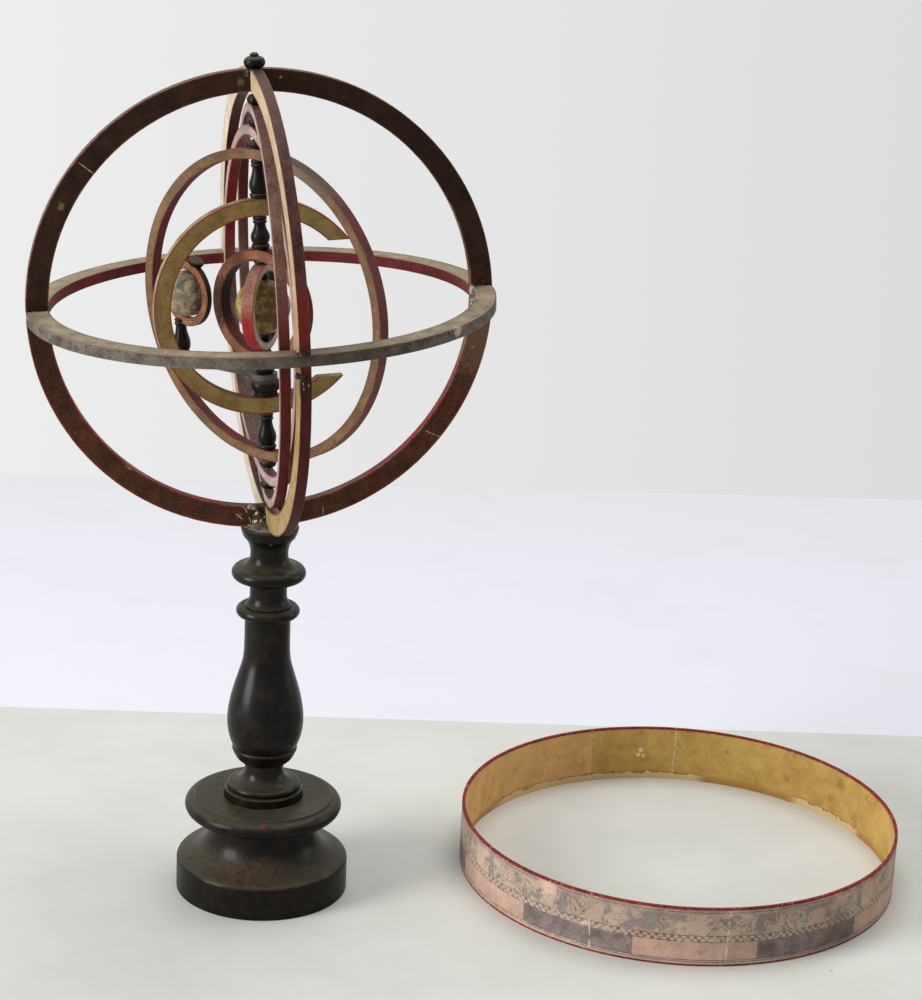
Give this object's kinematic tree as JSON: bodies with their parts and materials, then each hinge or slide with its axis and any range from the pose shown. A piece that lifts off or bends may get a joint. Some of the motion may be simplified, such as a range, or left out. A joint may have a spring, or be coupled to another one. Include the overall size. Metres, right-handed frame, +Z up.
{
  "type": "armillary sphere",
  "caption": "Armillary sphere of lapped pasteboard hoops with orbit rings that turn on a leaning polar wire, a turned stand and a separate zodiac band.",
  "frame": {"origin": "centre of the foot's underside, on the table", "axes": "+Z up the column, +X from the foot towards the zodiac band, in the plane of the solstitial colure"},
  "size_m": [0.4451, 0.2263, 0.4169],
  "materials": {
    "foot": "ebonised turned wood, worn",
    "column": "ebonised turned wood, worn",
    "solstitial_colure": "painted pasteboard, red edges",
    "equinoctial_colure": "painted pasteboard, one cream face",
    "ecliptic_ring": "printed paper on pasteboard, worn",
    "polar_wire": "dull iron wire",
    "finial": "ebonised turned wood",
    "pivot_cone": "ebonised turned wood",
    "sun": "ochre painted ball, speckled",
    "saturn_ring": "printed paper face, brown-red outer edge",
    "jupiter_ring": "printed paper face, red inner edge",
    "mars_ring": "olive-gold paper face, red edges",
    "earth_orbit_ring": "khaki paper face with thin red borders",
    "venus_ring": "peach-brown paper face, dark inside",
    "mercury_ring": "red outer edge, cream paper face",
    "earth_globe": "painted ball, beige with dark green patches",
    "earth_meridian": "printed paper face, dark edge",
    "earth_pin": "dull iron pin",
    "earth_arm": "thin stained wooden bar",
    "zodiac_band": "printed paper band with red rims",
    "sun_top_bead": "ebonised turned wood",
    "sun_bottom_bead": "ebonised turned wood",
    "mercury_top_bead": "ebonised turned wood",
    "mercury_bottom_bead": "ebonised turned wood",
    "mars_top_bead": "ebonised turned wood",
    "mars_bottom_bead": "ebonised turned wood",
    "jupiter_top_bead": "ebonised turned wood",
    "jupiter_bottom_bead": "ebonised turned wood",
    "saturn_top_bead": "ebonised turned wood",
    "outer_baluster": "ebonised turned wood",
    "inner_baluster": "ebonised turned wood",
    "lower_baluster": "ebonised turned wood",
    "earth_hub": "ebonised turned wood",
    "hub_collar": "ebonised turned wood",
    "earth_baluster": "ebonised turned wood",
    "earth_cap": "ebonised turned wood"
  },
  "bodies": {
    "stand": {"foot": "foot", "column": "column", "solstitial_colure": "solstitial_colure", "equinoctial_colure": "equinoctial_colure", "ecliptic_ring": "ecliptic_ring", "polar_wire": "polar_wire", "finial": "finial", "pivot_cone": "pivot_cone", "sun": "sun", "sun_top_bead": "sun_top_bead", "sun_bottom_bead": "sun_bottom_bead", "mercury_top_bead": "mercury_top_bead", "mercury_bottom_bead": "mercury_bottom_bead", "mars_top_bead": "mars_top_bead", "mars_bottom_bead": "mars_bottom_bead", "jupiter_top_bead": "jupiter_top_bead", "jupiter_bottom_bead": "jupiter_bottom_bead", "saturn_top_bead": "saturn_top_bead", "outer_baluster": "outer_baluster", "inner_baluster": "inner_baluster", "lower_baluster": "lower_baluster"},
    "saturn_orbit": {"saturn_ring": "saturn_ring"},
    "jupiter_orbit": {"jupiter_ring": "jupiter_ring"},
    "mars_orbit": {"mars_ring": "mars_ring"},
    "earth_orbit": {"earth_orbit_ring": "earth_orbit_ring"},
    "venus_orbit": {"venus_ring": "venus_ring"},
    "mercury_orbit": {"mercury_ring": "mercury_ring"},
    "earth_carrier": {"earth_arm": "earth_arm", "earth_hub": "earth_hub", "hub_collar": "hub_collar"},
    "earth_frame": {"earth_baluster": "earth_baluster", "earth_meridian": "earth_meridian", "earth_pin": "earth_pin", "earth_cap": "earth_cap"},
    "earth": {"earth_globe": "earth_globe"},
    "band": {"zodiac_band": "zodiac_band"}
  },
  "joints": [
    {"name": "saturn_turn", "type": "hinge", "parent": "stand", "child": "saturn_orbit", "pos_m": [-0.00604, 0, 0.29823], "axis": [-0.0558, 0, 0.9984], "continuous": true},
    {"name": "jupiter_turn", "type": "hinge", "parent": "stand", "child": "jupiter_orbit", "pos_m": [-0.00604, 0, 0.29823], "axis": [-0.0558, 0, 0.9984], "continuous": true},
    {"name": "mars_turn", "type": "hinge", "parent": "stand", "child": "mars_orbit", "pos_m": [-0.00604, 0, 0.29823], "axis": [-0.0558, 0, 0.9984], "continuous": true},
    {"name": "earth_turn", "type": "hinge", "parent": "stand", "child": "earth_orbit", "pos_m": [-0.00604, 0, 0.29823], "axis": [-0.0558, 0, 0.9984], "continuous": true},
    {"name": "venus_turn", "type": "hinge", "parent": "stand", "child": "venus_orbit", "pos_m": [-0.00604, 0, 0.29823], "axis": [-0.0558, 0, 0.9984], "continuous": true},
    {"name": "mercury_turn", "type": "hinge", "parent": "stand", "child": "mercury_orbit", "pos_m": [-0.00604, 0, 0.29823], "axis": [-0.0558, 0, 0.9984], "continuous": true},
    {"name": "earth_arm_turn", "type": "hinge", "parent": "earth_orbit", "child": "earth_carrier", "pos_m": [-0.00604, 0, 0.29823], "axis": [-0.0558, 0, 0.9984], "range_deg": [-265, 18]},
    {"name": "earth_frame_swivel", "type": "hinge", "parent": "earth_carrier", "child": "earth_frame", "pos_m": [-0.04063, 0.04129, 0.2963], "axis": [-0.0558, 0, 0.9984], "range_deg": [-105, 120]},
    {"name": "earth_spin", "type": "hinge", "parent": "earth_frame", "child": "earth", "pos_m": [-0.03714, 0.03591, 0.2965], "axis": [0.1656, -0.3344, 0.9278], "continuous": true},
    {"name": "zodiac_band_lift", "type": "slide", "parent": "stand", "child": "band", "axis": [0, 0, 1], "range_m": [0, 0.1]}
  ]
}
